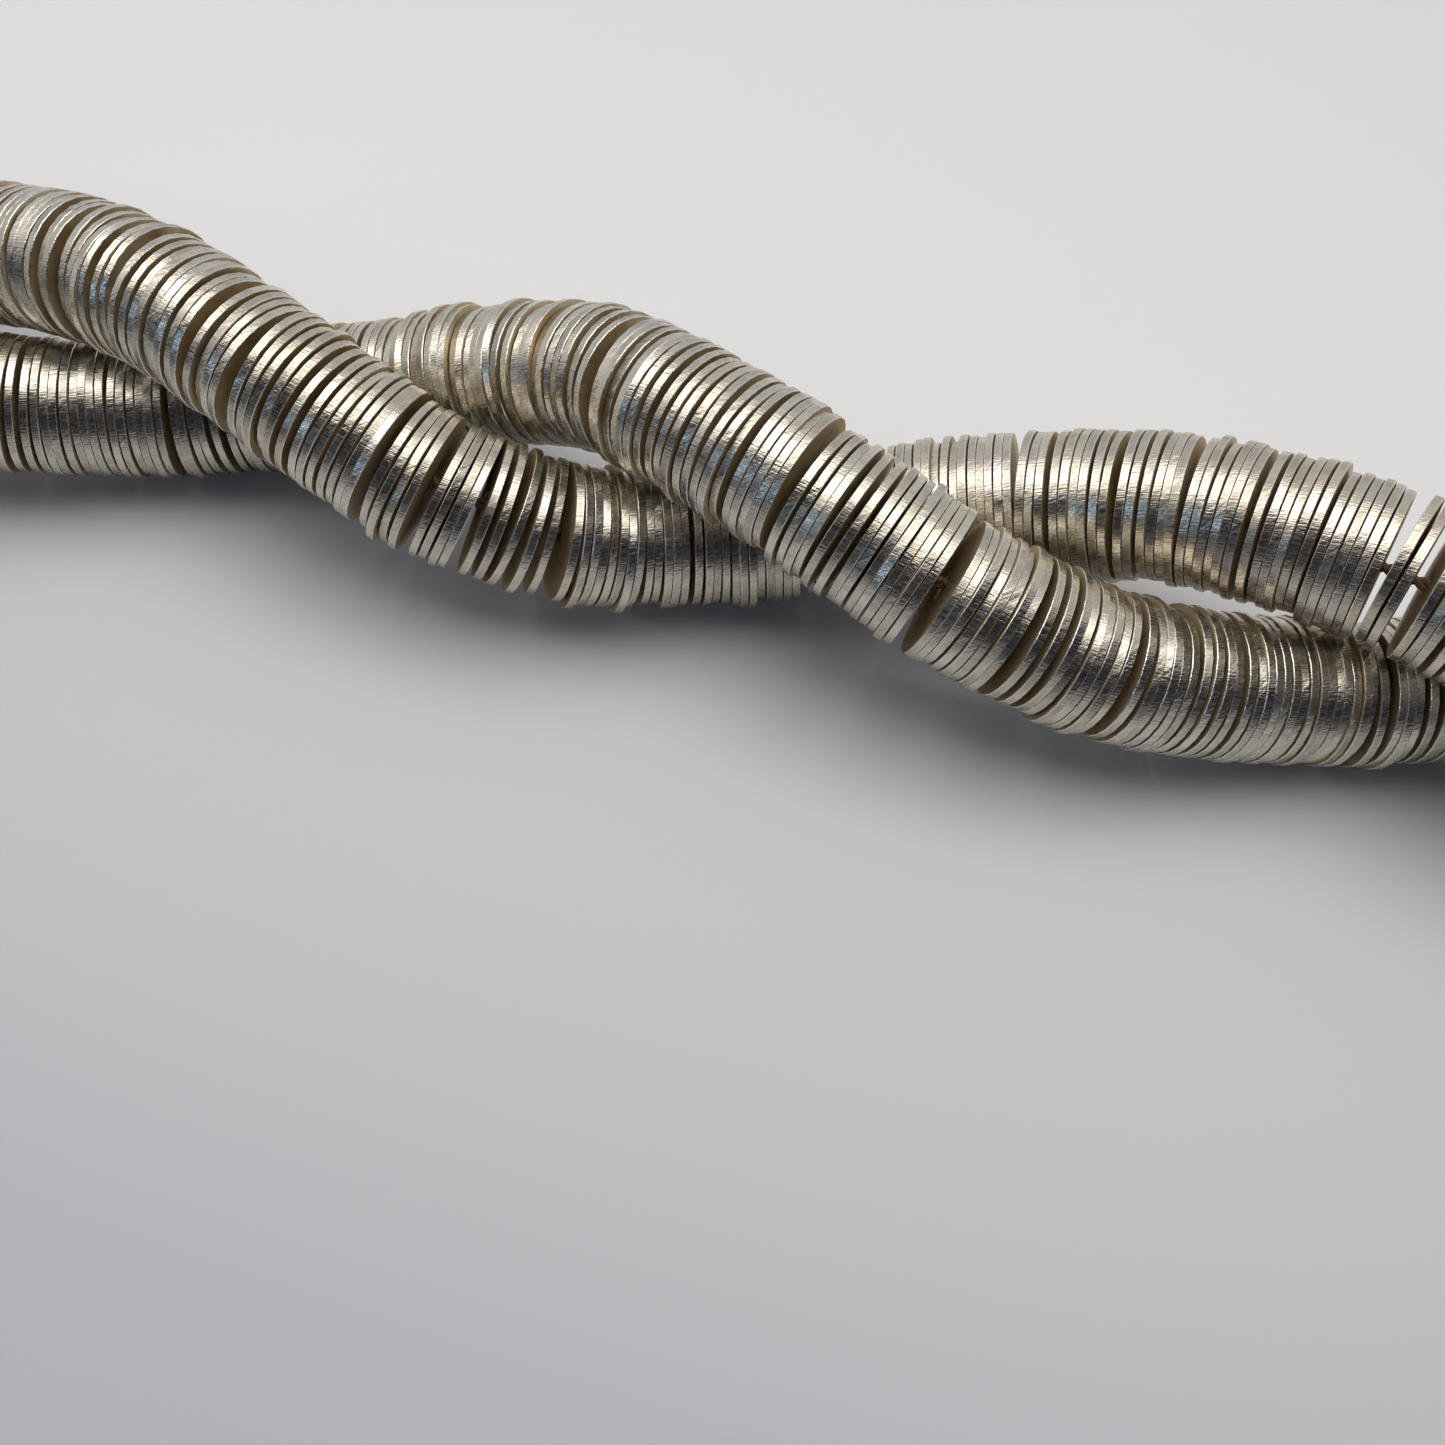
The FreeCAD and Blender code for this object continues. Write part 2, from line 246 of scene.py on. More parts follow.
def group_tree(name, inputs, outputs):
    """An empty shader node group: (name, kind, value) for each input and (name, kind) for each output."""
    tree = bpy.data.node_groups.new(name, "ShaderNodeTree")
    for label, kind, value in inputs:
        socket = tree.interface.new_socket(label, in_out="INPUT", socket_type=f"NodeSocket{kind}")
        if value is not None:
            socket.default_value = value
    for label, kind in outputs:
        tree.interface.new_socket(label, in_out="OUTPUT", socket_type=f"NodeSocket{kind}")
    return tree


def brush_marks():
    """Fine strokes left by brushing, the softened edges that get a painted highlight, and how far a rim was
    punched off square.
    """
    tree = group_tree(
        "brush_marks",
        [("Around", "Float", 300.0), ("Across", "Float", 2.0), ("Slant", "Float", 40.0)],
        [("Marks", "Float"), ("Edge", "Float"), ("Cone", "Float")],
    )
    add = node_maker(tree)
    given = add("NodeGroupInput").outputs
    rim = add("ShaderNodeAttribute", {"attribute_name": "rim_map"}).outputs["Vector"]
    seed = add("ShaderNodeAttribute", {"attribute_name": "disc_seed"}).outputs["Fac"]
    parts = add("ShaderNodeSeparateXYZ", None, Vector=rim).outputs
    across = add("ShaderNodeMath", {"operation": "SUBTRACT"}, _0=parts["Y"], _1=0.5).outputs[0]
    around = add("ShaderNodeMath", {"operation": "MULTIPLY"}, _0=parts["X"], _1=given["Around"]).outputs[0]
    lean = add("ShaderNodeMath", {"operation": "MULTIPLY"}, _0=across, _1=given["Slant"]).outputs[0]
    slanted = add("ShaderNodeMath", {"operation": "ADD"}, _0=around, _1=lean).outputs[0]
    length = add("ShaderNodeMath", {"operation": "MULTIPLY"}, _0=across, _1=given["Across"]).outputs[0]
    apart = add("ShaderNodeMath", {"operation": "MULTIPLY"}, _0=seed, _1=500.0).outputs[0]
    place = add("ShaderNodeCombineXYZ", None, X=slanted, Y=length, Z=apart).outputs[0]
    strokes = add("ShaderNodeTexNoise", None, Vector=place, Scale=1.0, Detail=2.0, Roughness=0.6).outputs[0]
    off_middle = add("ShaderNodeMath", {"operation": "ABSOLUTE"}, _0=across).outputs[0]
    # the softened edges of a rim, where the rim material paints a highlight
    edge = add("ShaderNodeMapRange", {"interpolation_type": "SMOOTHSTEP"}, Value=off_middle,
               _1=0.055, _2=0.085).outputs[0]
    stirred = add("ShaderNodeMath", {"operation": "MULTIPLY"}, _0=seed, _1=61.0).outputs[0]
    chance = add("ShaderNodeMath", {"operation": "FRACT"}, _0=stirred).outputs[0]
    lopsided = add("ShaderNodeMath", {"operation": "SUBTRACT"}, _0=chance, _1=0.5).outputs[0]
    cone = add("ShaderNodeMath", {"operation": "MULTIPLY"}, _0=across, _1=lopsided).outputs[0]
    add("NodeGroupOutput", None, Marks=strokes, Edge=edge, Cone=cone)
    return tree


def tarnish():
    """Where silver has dulled: cloudy patches, a different amount on each disc. Also painted shade: some
    discs darker.
    """
    tree = group_tree(
        "tarnish",
        [("Patch Size", "Float", 0.004), ("Amount", "Float", 0.5)],
        [("Dull", "Float"), ("Tint", "Float"), ("Darkness", "Float")],
    )
    add = node_maker(tree)
    given = add("NodeGroupInput").outputs
    object_place = add("ShaderNodeTexCoord").outputs["Object"]
    seed = add("ShaderNodeAttribute", {"attribute_name": "disc_seed"}).outputs["Fac"]
    frequency = add("ShaderNodeMath", {"operation": "DIVIDE"}, _0=1.0, _1=given["Patch Size"]).outputs[0]
    own = add("ShaderNodeMath", {"operation": "MULTIPLY"}, _0=seed, _1=90.0).outputs[0]
    clouds = add("ShaderNodeTexNoise", {"noise_dimensions": "4D"}, Vector=object_place, W=own,
                 Scale=frequency, Detail=4.0, Roughness=0.6).outputs[0]
    patch = add("ShaderNodeMapRange", {"interpolation_type": "SMOOTHSTEP"}, Value=clouds,
                _1=0.38, _2=0.68).outputs[0]
    dull = add("ShaderNodeMath", {"operation": "MULTIPLY"}, _0=patch, _1=given["Amount"]).outputs[0]
    wide = add("ShaderNodeTexNoise", None, Vector=object_place, Scale=90.0, Detail=2.0).outputs[0]
    mixed = add("ShaderNodeMath", {"operation": "MULTIPLY_ADD"}, _0=seed, _1=0.4, _2=wide).outputs[0]
    tint = add("ShaderNodeMapRange", {"interpolation_type": "SMOOTHSTEP"}, Value=mixed,
               _1=0.35, _2=1.0).outputs[0]
    # painted shade: a random share by which some discs are darker, for the light each disc catches by its own
    # lean
    stirred = add("ShaderNodeMath", {"operation": "MULTIPLY"}, _0=seed, _1=37.0).outputs[0]
    chance = add("ShaderNodeMath", {"operation": "FRACT"}, _0=stirred).outputs[0]
    darkness = add("ShaderNodeMath", {"operation": "POWER"}, _0=chance, _1=2.0).outputs[0]
    add("NodeGroupOutput", None, Dull=dull, Tint=tint, Darkness=darkness)
    return tree


brush_marks_tree = brush_marks()
tarnish_and_shade_tree = tarnish()


def between(add, share, low, high):
    """A colour between two, by a share from 0 to 1."""
    mix = add("ShaderNodeMix", {"data_type": "RGBA"}, _0=share)
    for socket, value in ((mix.inputs[6], low), (mix.inputs[7], high)):
        if isinstance(value, bpy.types.NodeSocket):
            mix.id_data.links.new(value, socket)
        else:
            socket.default_value = (*value, 1)
    return mix.outputs[2]


def silver_rim():
    material = bpy.data.materials.new("silver_rim")
    material.use_nodes = True
    tree = material.node_tree
    tree.nodes.clear()
    add = node_maker(tree)
    strokes = add("ShaderNodeGroup", {"node_tree": brush_marks_tree}, Around=250.0, Across=2.2, Slant=3.0)
    flats = add("ShaderNodeGroup", {"node_tree": brush_marks_tree}, Around=50.0, Across=1.0, Slant=6.0)
    age_and_painted_shade = add("ShaderNodeGroup", {"node_tree": tarnish_and_shade_tree}, Patch_Size=0.0022, Amount=0.8)
    clean = between(add, age_and_painted_shade.outputs["Tint"], (0.77, 0.72, 0.625), (0.72, 0.64, 0.505))
    # painted shade: some discs darker at random, for the differing light on discs that each lean their own
    # way
    darkness = add("ShaderNodeMath", {"operation": "MULTIPLY"}, _0=age_and_painted_shade.outputs["Darkness"],
                   _1=0.45).outputs[0]
    soiling_and_painted_shade = between(add, darkness, clean, (0.42, 0.385, 0.33))
    aged = between(add, age_and_painted_shade.outputs["Dull"], soiling_and_painted_shade, (0.44, 0.39, 0.315))
    # painted highlight: lighter, more neutral metal on the softened edges of each rim, for the bright light
    # they catch
    colour = between(add, strokes.outputs["Edge"], aged, (0.76, 0.74, 0.69))
    rough = add("ShaderNodeMapRange", None, Value=strokes.outputs["Marks"],
                _1=0.3, _2=0.7, _3=0.15, _4=0.34).outputs[0]
    rough = add("ShaderNodeMath", {"operation": "MULTIPLY_ADD"}, _0=age_and_painted_shade.outputs["Dull"], _1=0.10,
                _2=rough).outputs[0]
    cone = add("ShaderNodeBump", None, Strength=1.0, Distance=rim_slant,
               Height=strokes.outputs["Cone"]).outputs[0]
    hollows = add("ShaderNodeBump", None, Strength=0.6, Distance=0.00006, Height=flats.outputs["Marks"],
                  Normal=cone).outputs[0]
    relief = add("ShaderNodeBump", None, Strength=0.9, Distance=0.00003, Height=strokes.outputs["Marks"],
                 Normal=hollows).outputs[0]
    surface = add("ShaderNodeBsdfPrincipled", None, Base_Color=colour, Metallic=1.0, Roughness=rough,
                  Normal=relief)
    add("ShaderNodeOutputMaterial", None, Surface=surface.outputs[0])
    return material


def tarnished_face():
    material = bpy.data.materials.new("tarnished_face")
    material.use_nodes = True
    tree = material.node_tree
    tree.nodes.clear()
    add = node_maker(tree)
    strokes = add("ShaderNodeGroup", {"node_tree": brush_marks_tree}, Around=60.0, Across=30.0, Slant=90.0)
    age_and_painted_shade = add("ShaderNodeGroup", {"node_tree": tarnish_and_shade_tree}, Patch_Size=0.003, Amount=1.0)
    # painted shade and painted reflection: faces browner and darker than the rims, for the shade between
    # stacked discs and the warm light they throw on each other; the dull patches are tarnish
    clean = between(add, age_and_painted_shade.outputs["Tint"], (0.72, 0.63, 0.46), (0.66, 0.53, 0.33))
    colour = between(add, age_and_painted_shade.outputs["Dull"], clean, (0.45, 0.33, 0.18))
    relief = add("ShaderNodeBump", None, Strength=0.4, Distance=0.00002,
                 Height=strokes.outputs["Marks"]).outputs[0]
    surface = add("ShaderNodeBsdfPrincipled", None, Base_Color=colour, Metallic=0.85, Roughness=0.5,
                  Normal=relief)
    add("ShaderNodeOutputMaterial", None, Surface=surface.outputs[0])
    return material


rim_metal = silver_rim()
face_metal = tarnished_face()
blank = bpy.data.objects.new("disc_blank", disc_blank_mesh())
bpy.context.scene.collection.objects.link(blank)
stack_tree = disc_tree()


def input_names(tree):
    return {item.name: item.identifier for item in tree.interface.items_tree if item.in_out == "INPUT"}


tree_inputs = input_names(stack_tree)


def settle(piece):
    """Turns what a piece's modifiers make into its own mesh."""
    graph = bpy.context.evaluated_depsgraph_get()
    made = bpy.data.meshes.new_from_object(piece.evaluated_get(graph), preserve_all_data_layers=True,
                                           depsgraph=graph)
    piece.modifiers.clear()
    piece.data = made


def disc_stack(node, seed):
    places = [disc_place(points) for points in separate_solids(node)]
    stack = bpy.data.objects.new(f"{node}_worn", disc_points_mesh(node, places))
    bpy.context.scene.collection.objects.link(stack)
    maker = stack.modifiers.new("discs", "NODES")
    maker.node_group = stack_tree
    maker[tree_inputs["Blank"]] = blank
    maker[tree_inputs["Wobble"]] = rim_wobble * 2
    maker[tree_inputs["Seed"]] = seed
    maker[tree_inputs["Rim Metal"]] = rim_metal
    maker[tree_inputs["Face Metal"]] = face_metal
    settle(stack)
    return stack


stack_nodes = [node for node in sorted(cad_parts) if node.startswith("discs_")]
for number, node in enumerate(stack_nodes):
    stack = disc_stack(node, number)
    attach(stack, node.replace("discs_", "stack_"))
    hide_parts(node)
bpy.data.objects.remove(blank)


# ---- Threads ----
# Each strand of discs hangs on one tan-brown cotton thread of two plies laid up together. The thread
# runs on unbroken through every link; each length reaches from one link's middle to the next one's.

ply_radius = 0.00022
ply_offset = 0.00021         # from the thread's middle to the middle of a ply
ply_pitch = 0.0019           # one turn of the lay
ply_sides = 8
line_step = 0.0002


def cotton():
    material = bpy.data.materials.new("waxed_cotton")
    material.use_nodes = True
    tree = material.node_tree
    tree.nodes.clear()
    add = node_maker(tree)
    round_ply = add("ShaderNodeAttribute", {"attribute_name": "round_ply"}).outputs["Vector"]
    along_ply = add("ShaderNodeAttribute", {"attribute_name": "along_ply"}).outputs["Fac"]
    fine = add("ShaderNodeVectorMath", {"operation": "SCALE"}, _0=round_ply, Scale=3.2).outputs[0]
    length = add("ShaderNodeMath", {"operation": "MULTIPLY"}, _0=along_ply, _1=900.0).outputs[0]
    drawn = add("ShaderNodeCombineXYZ", None, Z=length).outputs[0]
    place = add("ShaderNodeVectorMath", {"operation": "ADD"}, _0=fine, _1=drawn).outputs[0]
    fibres = add("ShaderNodeTexNoise", None, Vector=place, Scale=1.0, Detail=3.0, Roughness=0.7).outputs[0]
    object_place = add("ShaderNodeTexCoord").outputs["Object"]
    soiling = add("ShaderNodeTexNoise", None, Vector=object_place, Scale=350.0, Detail=3.0).outputs[0]
    light = add("ShaderNodeMapRange", None, Value=fibres, _1=0.32, _2=0.68).outputs[0]
    soiling_and_painted_shade = add("ShaderNodeMapRange", None, Value=soiling, _1=0.45, _2=0.75).outputs[0]
    dyed = between(add, light, (0.25, 0.145, 0.065), (0.52, 0.36, 0.20))
    colour = between(add, soiling_and_painted_shade, dyed, (0.17, 0.11, 0.06))
    rough = add("ShaderNodeMapRange", None, Value=fibres, _1=0.3, _2=0.7, _3=0.62, _4=0.88).outputs[0]
    relief = add("ShaderNodeBump", None, Strength=0.8, Distance=0.00004, Height=fibres).outputs[0]
    surface = add("ShaderNodeBsdfPrincipled", None, Base_Color=colour, Roughness=rough, Normal=relief,
                  Sheen_Weight=0.35, Sheen_Roughness=0.4)
    add("ShaderNodeOutputMaterial", None, Surface=surface.outputs[0])
    return material


def twisted_thread_tree():
    """Lays two plies round each line, as a spinner does, with a cap on each end."""
    tree = bpy.data.node_groups.new("twisted_thread", "GeometryNodeTree")
    sockets = tree.interface
    sockets.new_socket("Geometry", in_out="INPUT", socket_type="NodeSocketGeometry")
    for label in ("Ply Radius", "Ply Offset", "Pitch", "Step"):
        sockets.new_socket(label, in_out="INPUT", socket_type="NodeSocketFloat")
    sockets.new_socket("Cotton", in_out="INPUT", socket_type="NodeSocketMaterial")
    sockets.new_socket("Geometry", in_out="OUTPUT", socket_type="NodeSocketGeometry")
    add = node_maker(tree)
    given = add("NodeGroupInput").outputs
    line = add("GeometryNodeMeshToCurve", None, Mesh=given["Geometry"]).outputs[0]
    smooth = add("GeometryNodeCurveSplineType", {"spline_type": "CATMULL_ROM"}, Curve=line).outputs[0]
    even = add("GeometryNodeResampleCurve", {"mode": "LENGTH"}, Curve=smooth, Length=given["Step"]).outputs[0]
    passed = add("GeometryNodeSplineParameter").outputs["Length"]
    marked = add("GeometryNodeStoreNamedAttribute", {"data_type": "FLOAT", "domain": "POINT"},
                 Geometry=even, Name="along_ply", Value=passed).outputs[0]
    circle = add("GeometryNodeCurvePrimitiveCircle", None, Resolution=ply_sides,
                 Radius=given["Ply Radius"]).outputs[0]
    spot = add("GeometryNodeInputPosition").outputs[0]
    rounded = add("ShaderNodeVectorMath", {"operation": "NORMALIZE"}, _0=spot).outputs[0]
    profile = add("GeometryNodeStoreNamedAttribute", {"data_type": "FLOAT_VECTOR", "domain": "POINT"},
                  Geometry=circle, Name="round_ply", Value=rounded).outputs[0]
    turns = add("ShaderNodeMath", {"operation": "DIVIDE"}, _0=passed, _1=given["Pitch"]).outputs[0]
    tangent = add("GeometryNodeInputTangent").outputs[0]
    normal = add("GeometryNodeInputNormal").outputs[0]
    plies = add("GeometryNodeJoinGeometry")
    for start in (0.0, math.pi):
        angle = add("ShaderNodeMath", {"operation": "MULTIPLY_ADD"}, _0=turns, _1=math.tau,
                    _2=start).outputs[0]
        sideways = add("ShaderNodeVectorRotate", {"rotation_type": "AXIS_ANGLE"}, Vector=normal, Axis=tangent,
                       Angle=angle).outputs[0]
        offset = add("ShaderNodeVectorMath", {"operation": "SCALE"}, _0=sideways,
                     Scale=given["Ply Offset"]).outputs[0]
        ply = add("GeometryNodeSetPosition", None, Geometry=marked, Offset=offset).outputs[0]
        body = add("GeometryNodeCurveToMesh", None, Curve=ply, Profile_Curve=profile,
                   Fill_Caps=True).outputs[0]
        tree.links.new(body, plies.inputs[0])
    soft = add("GeometryNodeSetShadeSmooth", None, Geometry=plies.outputs[0]).outputs[0]
    real = add("GeometryNodeRealizeInstances", None, Geometry=soft).outputs[0]
    finished = add("GeometryNodeSetMaterial", None, Geometry=real, Material=given["Cotton"]).outputs[0]
    add("NodeGroupOutput", None, Geometry=finished)
    return tree


cotton_thread = cotton()
thread_tree = twisted_thread_tree()
thread_inputs = input_names(thread_tree)


def spun(name, lines, radius=ply_radius, offset=ply_offset, pitch=ply_pitch, step=line_step):
    """A piece of two-ply thread along each of some lines of points."""
    mesh = bpy.data.meshes.new(name)
    points = [tuple(point) for line in lines for point in line]
    starts = np.cumsum([0] + [len(line) for line in lines])
    edges = [
        (index, index + 1) for start, end in zip(starts, starts[1:]) for index in range(start, end - 1)
    ]
    mesh.from_pydata(points, [(int(low), int(high)) for low, high in edges], [])
    piece = bpy.data.objects.new(name, mesh)
    bpy.context.scene.collection.objects.link(piece)
    maker = piece.modifiers.new("plies", "NODES")
    maker.node_group = thread_tree
    maker[thread_inputs["Ply Radius"]] = radius
    maker[thread_inputs["Ply Offset"]] = offset
    maker[thread_inputs["Pitch"]] = pitch
    maker[thread_inputs["Step"]] = step
    maker[thread_inputs["Cotton"]] = cotton_thread
    settle(piece)
    return piece


def middle_of(node):
    low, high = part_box(node)
    return (low + high) / 2


def centre_line(points):
    """Places along the middle of a packed thread: the smooth curve that its corner points lie round."""
    across = [np.polyfit(points[:, 0], points[:, axis], 3) for axis in (1, 2)]
    places = np.linspace(points[:, 0].min(), points[:, 0].max(), 13)[1:-1]
    return np.column_stack([places] + [np.polyval(fit, places) for fit in across])


def stretch(line, low, high):
    """The part of a line between two places along the rope, with a point at each."""
    inside = [x for x in line[:, 0] if low < x < high]
    places = [low] + inside + [high]
    y = np.interp(places, line[:, 0], line[:, 1])
    z = np.interp(places, line[:, 0], line[:, 2])
    return [Vector(point) for point in zip(places, y, z)]


link_names = sorted(node.replace("thread_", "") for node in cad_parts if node.startswith("thread_"))
strand_lines = {"a": [], "b": []}
for link in link_names:
    for points in separate_solids(f"thread_{link}"):
        distances = {
            side: (middle_of(f"discs_{side}_{link}") - Vector(points.mean(0))).length for side in strand_lines
        }
        strand_lines[min(distances, key=distances.get)].append(centre_line(points))
strand_lines = {side: np.vstack(parts) for side, parts in strand_lines.items()}

link_middles = [middle_of(f"thread_{link}").x for link in link_names]
for index, (link, following) in enumerate(zip(link_names, link_names[1:])):
    low, high = link_middles[index:index + 2]
    lines = [stretch(line, low, high) for line in strand_lines.values()]
    piece = spun(f"thread_{link}_to_{following}", lines)
    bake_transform(piece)
    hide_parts(f"thread_{link}")


# ---- Knots and cut ends ----
# Past the last disc each thread has a stop knot of a few wraps. The two threads then meet in one
# larger knot that ties the strands together, and end just beyond it, cut and frayed.

wrap_steps = 120
buried_length = 0.0004       # of thread inside the knot that it enters or leaves
stop_knot_margin = 0.00055   # between the outer wraps and each end of a knot
stop_wrap_radius = 0.00098
stop_wrap_turns = 2.7
stop_wrap_rise = 0.00017     # of the wraps that go back over the others
tie_knot_margin = 0.0006
tie_wrap_radius = 0.00157
tie_wrap_turns = 4.2
tie_wrap_rise = 0.00024
thread_spacing = 1.6         # of the two threads inside a tie knot, in thread radii
lead_run = 0.42              # how far a lead thread keeps its direction, as a share of its length
tail_run = 0.005             # straight out of the knot, before a cut end turns aside
tail_finish = 0.0035         # and at its tip
tail_splay = 0.35
paper_gap = 0.00005          # under a cut end
tip_reach = 0.0006           # of a packed cut end, in which its tip is looked for
root_reach = 0.0003


def wrapped(middle, axis, reach, radius, turns, rise):
    """A thread wound round a core along an axis, then back over its own wraps, and tucked in at both ends."""
    side = axis.orthogonal().normalized()
    other = axis.cross(side)
    forward = 0.84           # share of the thread in the first layer of wraps
    tuck = 0.05
    points = []
    for step in range(wrap_steps + 1):
        share = step / wrap_steps
        out = min(share / forward, 1)
        back = max(share - forward, 0) / (1 - forward)
        angle = math.tau * (turns * out + 0.55 * back)
        buried = min(share / tuck, (1 - share) / tuck, 1)
        distance = (radius + rise * math.sin(math.pi * back)) * (0.35 + 0.65 * buried)
        height = reach * (2 * out - 1) - 2 * reach * back
        points.append(middle + axis * height + (side * math.cos(angle) + other * math.sin(angle)) * distance)
    return points


def bezier(points, steps):
    first, second, third, last = points
    line = []
    for step in range(steps + 1):
        share = step / steps
        rest = 1 - share
        near_first = first * rest ** 3 + second * 3 * rest ** 2 * share
        near_last = third * 3 * rest * share ** 2 + last * share ** 3
        line.append(near_first + near_last)
    return line


def half_length(node, axis):
    corners = np.array([vertex.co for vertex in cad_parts[node].data.vertices])
    return np.ptp(corners @ np.array(axis)) / 2


fibre_count = 9
fray_spread = 0.00075
fray_reach = (0.0007, 0.0016)
fray_depth = 0.0008          # back from the tip to where the fibres part
fibre_radius = 0.00004
fibre_pitch = 0.0008
fibre_step = 0.00025


def frayed(tip, outward, draw):
    """Loose fibres that part at a cut end."""
    fibres = []
    for _ in range(fibre_count):
        spread = Vector((draw.uniform(-1, 1), draw.uniform(-1, 1), draw.uniform(0, 1))) * fray_spread
        reach = draw.uniform(*fray_reach)
        root = tip - outward * fray_depth + spread * 0.15
        fibres.append(bezier((root, tip + spread * 0.2, tip + outward * reach * 0.5 + spread * 0.8,
                              tip + outward * reach + spread), 8))
    return fibres


thread_radius = ply_radius + ply_offset
for end_name, sign in (("left", -1), ("right", 1)):
    link = link_names[0] if sign < 0 else link_names[-1]
    outward = Vector((sign, 0, 0))
    tie = f"tie_knot_{end_name}"
    tie_middle = middle_of(tie)
    tie_half = half_length(tie, outward)
    side_by_side = Vector((0, 0, thread_radius * thread_spacing))
    entries = [tie_middle - outward * tie_half + side_by_side * step for step in (-1, 1)]
    exits = [tie_middle + outward * tie_half + side_by_side * step for step in (-1, 1)]
    starts = []
    last_lines = []
    for side, line in strand_lines.items():
        stop = f"stop_knot_{side}_{end_name}"
        ordered = line if sign > 0 else line[::-1]
        axis = Vector(ordered[-1] - ordered[-4]).normalized()
        middle = middle_of(stop)
        half = half_length(stop, axis)
        core = [middle - axis * half, middle, middle + axis * half]
        wraps = wrapped(middle, axis, half - stop_knot_margin, stop_wrap_radius, stop_wrap_turns,
                        stop_wrap_rise)
        piece = spun(f"{stop}_tied", [core, wraps])
        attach(piece, f"link_{link}")
        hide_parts(stop)
        starts.append((middle + axis * half, axis))
        low, high = sorted((link_middles[0 if sign < 0 else -1], middle.x - axis.x * half * 0.9))
        known = np.vstack([line, [tuple(middle)]])
        last_lines.append(stretch(known[np.argsort(known[:, 0])], low, high))
    piece = spun(f"thread_to_knots_{end_name}", last_lines)
    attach(piece, f"link_{link}")
    if sign > 0:
        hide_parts(f"thread_{link}")
    if starts[0][0].z > starts[1][0].z:
        entries.reverse()
    leads = []
    for (start, axis), entry in zip(starts, entries):
        run = (entry - start).length * lead_run
        leads.append(bezier((start - axis * buried_length, start + axis * run,
                             entry - outward * run, entry + outward * buried_length), 24))
    piece = spun(f"lead_threads_{end_name}_twisted", leads)
    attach(piece, f"link_{link}")
    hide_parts(f"lead_threads_{end_name}")
    entries.sort(key=lambda entry: entry.z)
    cores = [[entry, (entry + leave) / 2, leave] for entry, leave in zip(entries, exits)]
    wraps = wrapped(tie_middle, outward, tie_half - tie_knot_margin, tie_wrap_radius, tie_wrap_turns,
                    tie_wrap_rise)
    piece = spun(f"{tie}_tied", cores + [wraps])
    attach(piece, f"link_{link}")
    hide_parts(tie)
    ends = f"cut_ends_{end_name}"
    draw = random.Random(ends)
    tails = []
    fibres = []
    for solid in separate_solids(ends):
        far = solid[:, 0] * sign
        tip = Vector(solid[far > far.max() - tip_reach].mean(0))
        near = Vector(solid[far < far.min() + root_reach].mean(0))
        leave = min(exits, key=lambda point: (point - near).length)
        heading = Vector((sign, tail_splay * (1 if tip.y > tie_middle.y else -1), 0)).normalized()
        tip.z = thread_radius + paper_gap
        tails.append(bezier((leave - outward * buried_length, leave + outward * tail_run,
                             tip - heading * tail_finish, tip), 30))
        fibres += frayed(tip, heading, draw)
    piece = spun(f"{ends}_twisted", tails)
    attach(piece, f"link_{link}")
    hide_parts(ends)
    fray = spun(f"{ends}_frayed", fibres, radius=fibre_radius, offset=fibre_radius, pitch=fibre_pitch,
                step=fibre_step)
    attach(fray, f"link_{link}")


# ---- Floor and light ----
# The rope lies on plain pale paper under a soft box, in a room that is bright overhead and behind
# and dim on the viewer's side. What is seen past the paper is plain and pale.

floor_reach = 30.0
corners = [(x * floor_reach, y * floor_reach, 0) for x, y in ((-1, -1), (1, -1), (1, 1), (-1, 1))]
floor_mesh = bpy.data.meshes.new("floor")
floor_mesh.from_pydata(corners, [], [(0, 1, 2, 3)])
floor = bpy.data.objects.new("floor", floor_mesh)
bpy.context.scene.collection.objects.link(floor)


def pale_paper():
    """Matt pale paper with painted shade: darker and a little bluer towards the viewer."""
    material = bpy.data.materials.new("pale_paper")
    material.use_nodes = True
    tree = material.node_tree
    tree.nodes.clear()
    add = node_maker(tree)
    object_place = add("ShaderNodeTexCoord").outputs["Object"]
    depth = add("ShaderNodeSeparateXYZ", None, Vector=object_place).outputs["Y"]
    # painted shade: the paper's colour darkens and turns bluer towards the viewer, for the shade that falls
    # on that side
    share = add("ShaderNodeMapRange", None, Value=depth, _1=-0.055, _2=0.025).outputs[0]
    colour = between(add, share, (0.495, 0.505, 0.53), (0.80, 0.80, 0.80))
    grain = add("ShaderNodeTexNoise", None, Vector=object_place, Scale=2200.0, Detail=2.0).outputs[0]
    relief = add("ShaderNodeBump", None, Strength=0.15, Distance=0.00005, Height=grain).outputs[0]
    surface = add("ShaderNodeBsdfPrincipled", None, Base_Color=colour, Roughness=0.42, Normal=relief)
    add("ShaderNodeOutputMaterial", None, Surface=surface.outputs[0])
    return material


floor_mesh.materials.append(pale_paper())


def soft_light(name, place, aim, size, power, colour):
    light = bpy.data.objects.new(name, bpy.data.lights.new(name, "AREA"))
    light.data.shape = "RECTANGLE"
    light.data.size, light.data.size_y = size
    light.data.energy = power
    light.data.color = colour
    light.location = place
    light.rotation_euler = (Vector(place) - Vector(aim)).to_track_quat("Z", "Y").to_euler()
    bpy.context.scene.collection.objects.link(light)


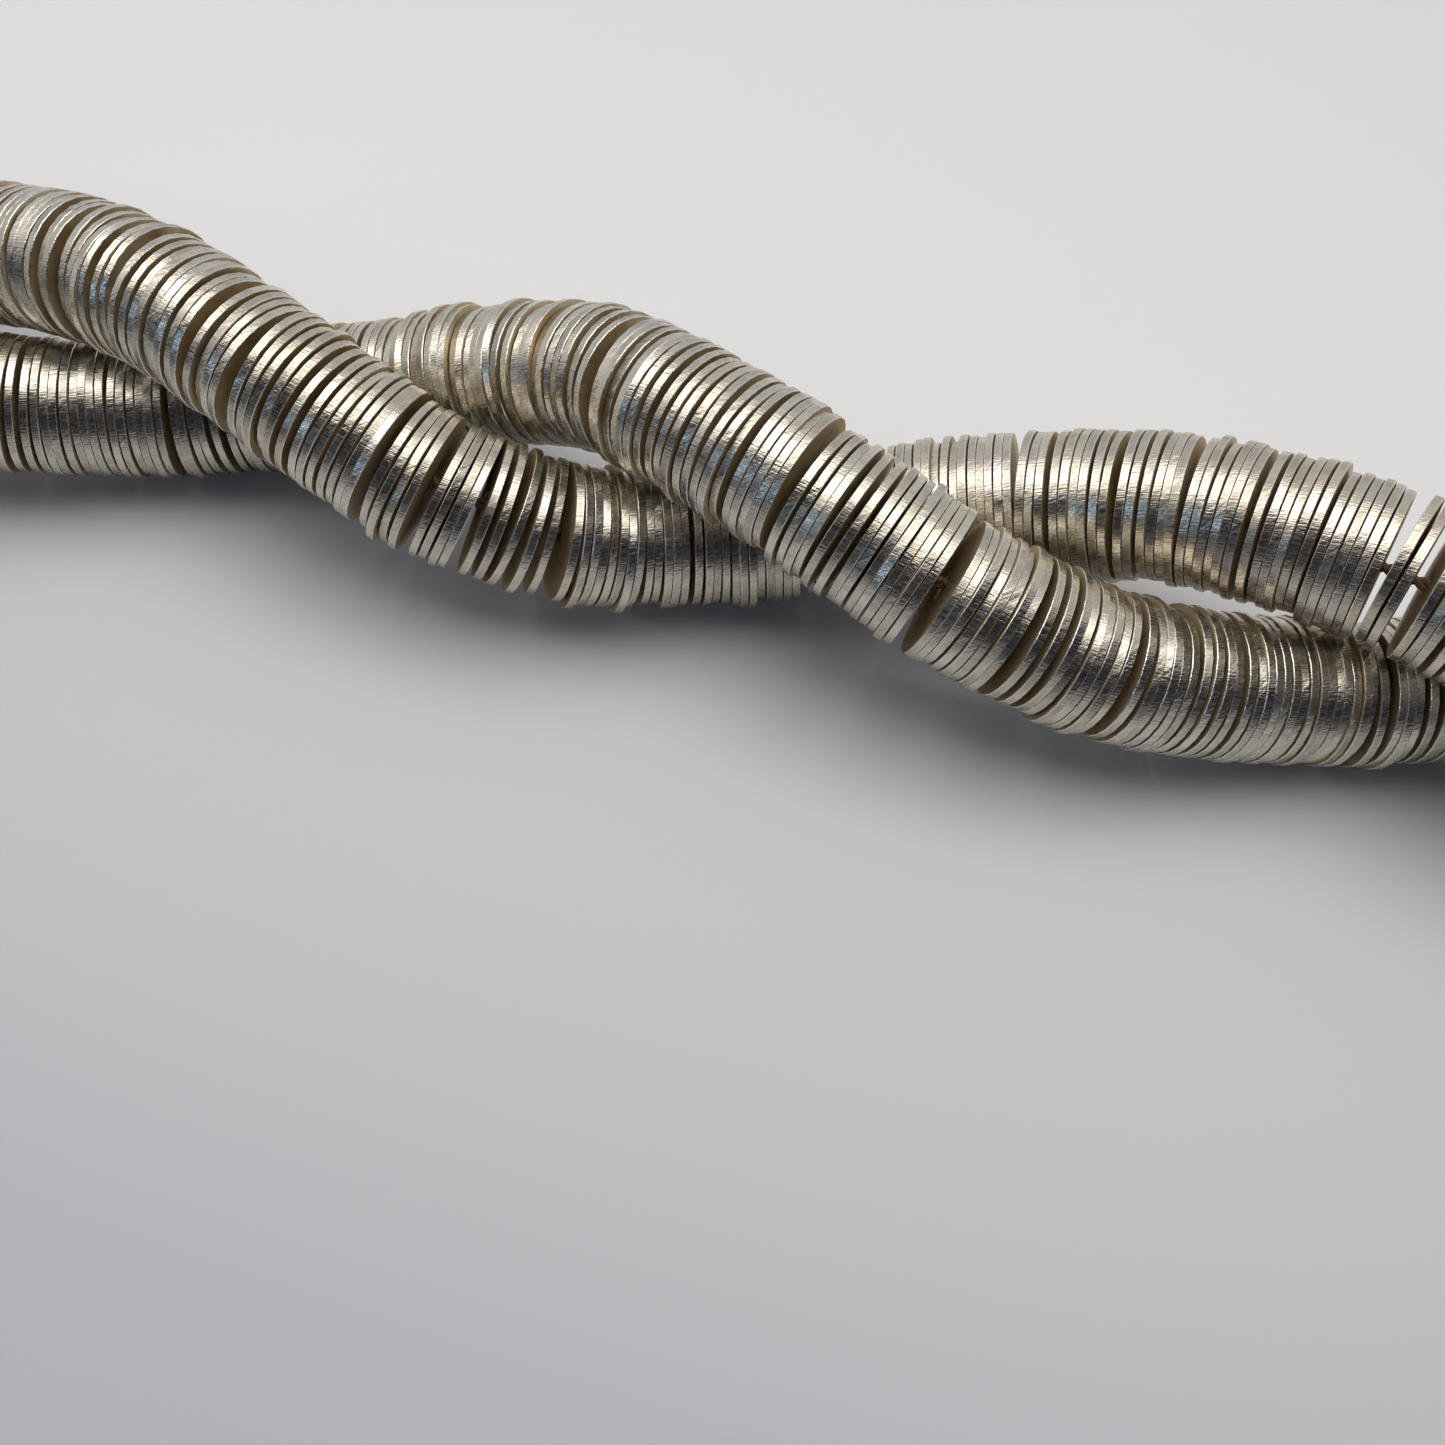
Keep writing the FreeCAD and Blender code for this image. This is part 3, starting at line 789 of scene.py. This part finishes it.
soft_light("softbox", (-0.04, 0.03, 0.30), (-0.04, 0.03, 0), (0.55, 0.22), 0.77, (1.0, 0.98, 0.945))
soft_light("blue_glow", (-0.60, -0.75, 0.53), (0, 0, 0), (0.22, 0.22), 0.44, (0.50, 0.72, 1.0))


# by the angle up from the horizon on the viewer's side and over to the back
sky_bands = (
    (2, (0.030, 0.036, 0.054)),
    (30, (0.018, 0.018, 0.028)),
    (77, (0.018, 0.018, 0.028)),
    (85, (0.59, 0.592, 0.602)),
    (178, (0.58, 0.59, 0.62)),
)


def studio_world():
    """A broad pale light from just in front of overhead to the back, and a dim room on the viewer's side."""
    world = bpy.data.worlds.new("studio")
    world.use_nodes = True
    tree = world.node_tree
    tree.nodes.clear()
    add = node_maker(tree)
    direction = add("ShaderNodeTexCoord").outputs["Generated"]
    parts = add("ShaderNodeSeparateXYZ", None, Vector=direction).outputs
    forward = (math.sin(view_azimuth), -math.cos(view_azimuth), 0)
    ahead = add("ShaderNodeVectorMath", {"operation": "DOT_PRODUCT"}, _0=direction,
                _1=forward).outputs["Value"]
    angle = add("ShaderNodeMath", {"operation": "ARCTAN2"}, _0=parts["Z"], _1=ahead).outputs[0]
    share = add("ShaderNodeMath", {"operation": "DIVIDE"}, _0=angle, _1=math.pi).outputs[0]
    ramp = add("ShaderNodeValToRGB", None, Fac=share)
    stops = ramp.color_ramp.elements
    for angle_degrees, colour in sky_bands:
        stop = stops.new(angle_degrees / 180)
        stop.color = (*colour, 1)
    stops.remove(stops[0])
    stops.remove(stops[-1])
    light = add("ShaderNodeBackground", None, Color=ramp.outputs[0], Strength=1.0).outputs[0]
    plain = add("ShaderNodeBackground", None, Color=(0.62, 0.62, 0.63, 1), Strength=1.0).outputs[0]
    seen = add("ShaderNodeLightPath").outputs["Is Camera Ray"]
    mixed = add("ShaderNodeMixShader", None, _0=seen, _1=light, _2=plain).outputs[0]
    add("ShaderNodeOutputWorld", None, Surface=mixed)
    return world


bpy.context.scene.world = studio_world()
bpy.context.scene.view_settings.view_transform = "Standard"
